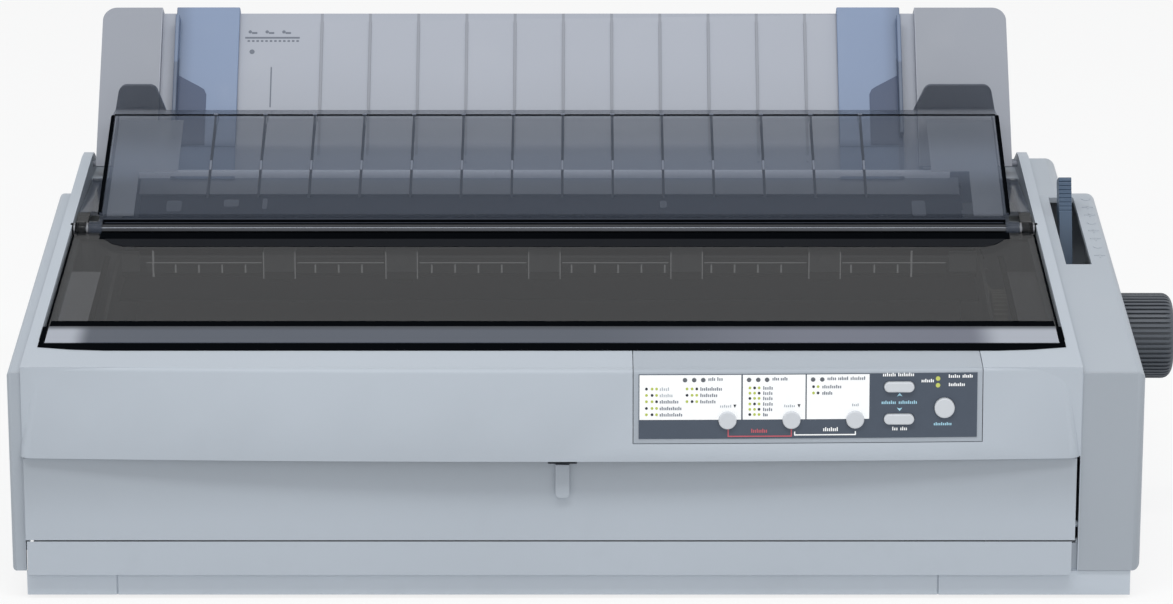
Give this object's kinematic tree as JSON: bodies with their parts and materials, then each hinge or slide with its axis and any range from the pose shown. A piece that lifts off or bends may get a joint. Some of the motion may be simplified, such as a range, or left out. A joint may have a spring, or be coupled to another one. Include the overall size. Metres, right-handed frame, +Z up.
{
  "type": "dot matrix printer",
  "caption": "Wide desktop impact printer with smoked hinged covers, raised rear paper guide, side platen knob, release lever and a front control panel.",
  "frame": {"origin": "on the table, below the middle of the whole printer's box with its paper guide raised", "axes": "+X to the right seen from the front (towards the platen knob), +Y to the back, +Z up"},
  "size_m": [0.639, 0.402, 0.256],
  "materials": {
    "housing": "fine textured moulded plastic, light blue-grey",
    "smoke": "smoked see-through plastic, polished",
    "guide": "moulded plastic, light grey, satin",
    "edge_guide": "moulded plastic, soft blue, satin",
    "lever": "moulded plastic, slate blue",
    "knob": "moulded plastic, dark grey, satin",
    "button": "moulded plastic, light grey, smooth",
    "label": "printed film, slate with white fields",
    "lamp": "small clear lamp lenses",
    "rod_black": "black polished rod",
    "foot_rubber": "moulded rubber",
    "platen_rubber": "ground rubber",
    "belt_rubber": "moulded belt",
    "sheet_steel": "galvanised sheet",
    "bright_steel": "ground and plated",
    "head_alloy": "die-cast, plain",
    "motor": "black painted steel",
    "gear": "natural white moulded plastic",
    "dark_plastic": "black moulded plastic, satin",
    "circuit_board": "green board",
    "connector": "black moulded plastic"
  },
  "bodies": {
    "chassis": {"upper_housing": "housing", "panel_bezel": "housing", "front_sill": "housing", "lower_housing": "housing", "panel_overlay": "label", "status_leds": "lamp", "panel_board": "circuit_board", "hinge_rod": "rod_black", "rubber_feet": "foot_rubber", "base_frame": "sheet_steel", "left_side_frame": "sheet_steel", "right_side_frame": "sheet_steel", "paper_chute": "sheet_steel", "carriage_rail": "sheet_steel", "lever_bracket": "sheet_steel", "feed_motor": "motor", "carriage_motor": "motor", "tractor_support_shaft": "bright_steel", "guide_rod": "bright_steel", "timing_belt": "belt_rubber", "ribbon_cartridge": "dark_plastic", "tension_unit": "dark_plastic", "power_supply": "sheet_steel", "main_board": "circuit_board", "ac_inlet": "connector", "interface_ports": "connector", "housing_screws": "bright_steel"},
    "printer_cover": {"printer_cover": "smoke"},
    "guide_cover": {"guide_cover": "smoke"},
    "paper_guide": {"paper_guide": "guide"},
    "edge_guide_left": {"edge_guide_left": "edge_guide"},
    "edge_guide_right": {"edge_guide_right": "edge_guide"},
    "front_cover": {"front_cover": "housing"},
    "platen": {"platen_roller": "platen_rubber", "platen_shaft": "bright_steel", "platen_knob": "knob", "platen_gear": "gear"},
    "idler_gear": {"idler_gear": "gear"},
    "transfer_gear": {"transfer_gear": "gear"},
    "tractor_drive_shaft": {"tractor_drive_shaft": "bright_steel"},
    "feed_pinion": {"feed_pinion": "gear"},
    "carriage": {"carriage": "dark_plastic", "print_head": "head_alloy"},
    "drive_pulley": {"drive_pulley": "gear"},
    "idler_pulley": {"idler_pulley": "gear"},
    "ribbon_knob": {"ribbon_knob": "knob"},
    "tension_rollers": {"tension_rollers": "platen_rubber"},
    "tractor_left": {"tractor_left": "dark_plastic"},
    "tractor_right": {"tractor_right": "dark_plastic"},
    "tractor_door_left": {"tractor_door_left": "dark_plastic"},
    "tractor_door_right": {"tractor_door_right": "dark_plastic"},
    "release_lever": {"release_lever": "lever"},
    "gap_lever": {"gap_lever": "lever"},
    "power_switch": {"power_switch": "button"},
    "font_button": {"font_button": "button"},
    "pitch_button": {"pitch_button": "button"},
    "tear_off_button": {"tear_off_button": "button"},
    "pause_button": {"pause_button": "button"},
    "load_button": {"load_button": "button"},
    "feed_button": {"feed_button": "button"}
  },
  "joints": [
    {"name": "printer_cover_hinge", "type": "hinge", "parent": "chassis", "child": "printer_cover", "pos_m": [-0.0285, 0.012, 0.157], "axis": [-1, 0, 0], "range_deg": [0, 95]},
    {"name": "guide_cover_hinge", "type": "hinge", "parent": "chassis", "child": "guide_cover", "pos_m": [-0.0285, 0.012, 0.157], "axis": [-1, 0, 0], "range_deg": [-90, 0]},
    {"name": "paper_guide_tilt", "type": "hinge", "parent": "chassis", "child": "paper_guide", "pos_m": [-0.029, 0.124, 0.1716], "axis": [-1, 0, 0], "range_deg": [0, 32]},
    {"name": "edge_guide_left_slide", "type": "slide", "parent": "paper_guide", "child": "edge_guide_left", "axis": [1, 0, 0], "range_m": [-0.006, 0.18]},
    {"name": "edge_guide_right_slide", "type": "slide", "parent": "paper_guide", "child": "edge_guide_right", "axis": [1, 0, 0], "range_m": [-0.18, 0.006]},
    {"name": "front_cover_hinge", "type": "hinge", "parent": "chassis", "child": "front_cover", "pos_m": [-0.029, -0.1848, 0.0412], "axis": [1, 0, 0], "range_deg": [0, 90]},
    {"name": "platen_spin", "type": "hinge", "parent": "chassis", "child": "platen", "pos_m": [0, -0.055, 0.112], "axis": [1, 0, 0], "continuous": true},
    {"name": "idler_gear_spin", "type": "hinge", "parent": "chassis", "child": "idler_gear", "pos_m": [0.222, -0.01597, 0.09212], "axis": [1, 0, 0], "continuous": true},
    {"name": "transfer_gear_spin", "type": "hinge", "parent": "chassis", "child": "transfer_gear", "pos_m": [0.222, 0.03296, 0.08611], "axis": [1, 0, 0], "continuous": true},
    {"name": "tractor_shaft_spin", "type": "hinge", "parent": "chassis", "child": "tractor_drive_shaft", "pos_m": [0.222, 0.08396, 0.09978], "axis": [1, 0, 0], "continuous": true},
    {"name": "feed_pinion_spin", "type": "hinge", "parent": "chassis", "child": "feed_pinion", "pos_m": [0.222, -0.02381, 0.06649], "axis": [1, 0, 0], "continuous": true},
    {"name": "carriage_slide", "type": "slide", "parent": "chassis", "child": "carriage", "axis": [1, 0, 0], "range_m": [-0.008, 0.38]},
    {"name": "drive_pulley_spin", "type": "hinge", "parent": "chassis", "child": "drive_pulley", "pos_m": [0.188, -0.132, 0.0675], "axis": [0, 0, 1], "continuous": true},
    {"name": "idler_pulley_spin", "type": "hinge", "parent": "chassis", "child": "idler_pulley", "pos_m": [-0.252, -0.132, 0.0675], "axis": [0, 0, 1], "continuous": true},
    {"name": "ribbon_knob_spin", "type": "hinge", "parent": "chassis", "child": "ribbon_knob", "pos_m": [-0.232, -0.131, 0.122], "axis": [0, 0, 1], "continuous": true},
    {"name": "tension_roller_spin", "type": "hinge", "parent": "chassis", "child": "tension_rollers", "pos_m": [-0.031, -0.003, 0.1345], "axis": [1, 0, 0], "continuous": true},
    {"name": "tractor_left_slide", "type": "slide", "parent": "chassis", "child": "tractor_left", "axis": [1, 0, 0], "range_m": [-0.01, 0.12]},
    {"name": "tractor_right_slide", "type": "slide", "parent": "chassis", "child": "tractor_right", "axis": [1, 0, 0], "range_m": [-0.12, 0.03]},
    {"name": "tractor_door_left_hinge", "type": "hinge", "parent": "tractor_left", "child": "tractor_door_left", "pos_m": [-0.2426, 0.095, 0.11128], "axis": [0, -1, 0], "range_deg": [0, 95]},
    {"name": "tractor_door_right_hinge", "type": "hinge", "parent": "tractor_right", "child": "tractor_door_right", "pos_m": [0.1626, 0.095, 0.11128], "axis": [0, 1, 0], "range_deg": [0, 95]},
    {"name": "release_lever_hinge", "type": "hinge", "parent": "chassis", "child": "release_lever", "pos_m": [0.2683, 0.01, 0.095], "axis": [1, 0, 0], "range_deg": [0, 50]},
    {"name": "gap_lever_hinge", "type": "hinge", "parent": "chassis", "child": "gap_lever", "pos_m": [0.2115, -0.125, 0.084], "axis": [1, 0, 0], "range_deg": [-15, 20]},
    {"name": "power_switch_rock", "type": "hinge", "parent": "chassis", "child": "power_switch", "pos_m": [-0.3125, -0.123, 0.044], "axis": [0, 0, 1], "range_deg": [-6, 6]},
    {"name": "font_button_press", "type": "slide", "parent": "chassis", "child": "font_button", "axis": [0, 1, 0], "range_m": [0, 0.001], "stiffness_N_per_m": 900, "springref_m": -0.0004},
    {"name": "pitch_button_press", "type": "slide", "parent": "chassis", "child": "pitch_button", "axis": [0, 1, 0], "range_m": [0, 0.001], "stiffness_N_per_m": 900, "springref_m": -0.0004},
    {"name": "tear_off_button_press", "type": "slide", "parent": "chassis", "child": "tear_off_button", "axis": [0, 1, 0], "range_m": [0, 0.001], "stiffness_N_per_m": 900, "springref_m": -0.0004},
    {"name": "pause_button_press", "type": "slide", "parent": "chassis", "child": "pause_button", "axis": [0, 1, 0], "range_m": [0, 0.001], "stiffness_N_per_m": 900, "springref_m": -0.0004},
    {"name": "load_button_press", "type": "slide", "parent": "chassis", "child": "load_button", "axis": [0, 1, 0], "range_m": [0, 0.001], "stiffness_N_per_m": 900, "springref_m": -0.0004},
    {"name": "feed_button_press", "type": "slide", "parent": "chassis", "child": "feed_button", "axis": [0, 1, 0], "range_m": [0, 0.001], "stiffness_N_per_m": 900, "springref_m": -0.0004}
  ],
  "couplings": [
    {"joint": "idler_gear_spin", "follows": "platen_spin", "ratio": -1.4857},
    {"joint": "transfer_gear_spin", "follows": "platen_spin", "ratio": 0.8254},
    {"joint": "tractor_shaft_spin", "follows": "platen_spin", "ratio": -1.2381},
    {"joint": "feed_pinion_spin", "follows": "platen_spin", "ratio": 2.8889},
    {"joint": "drive_pulley_spin", "follows": "carriage_slide", "rad_per_m": -112.36},
    {"joint": "idler_pulley_spin", "follows": "carriage_slide", "rad_per_m": -112.36}
  ]
}
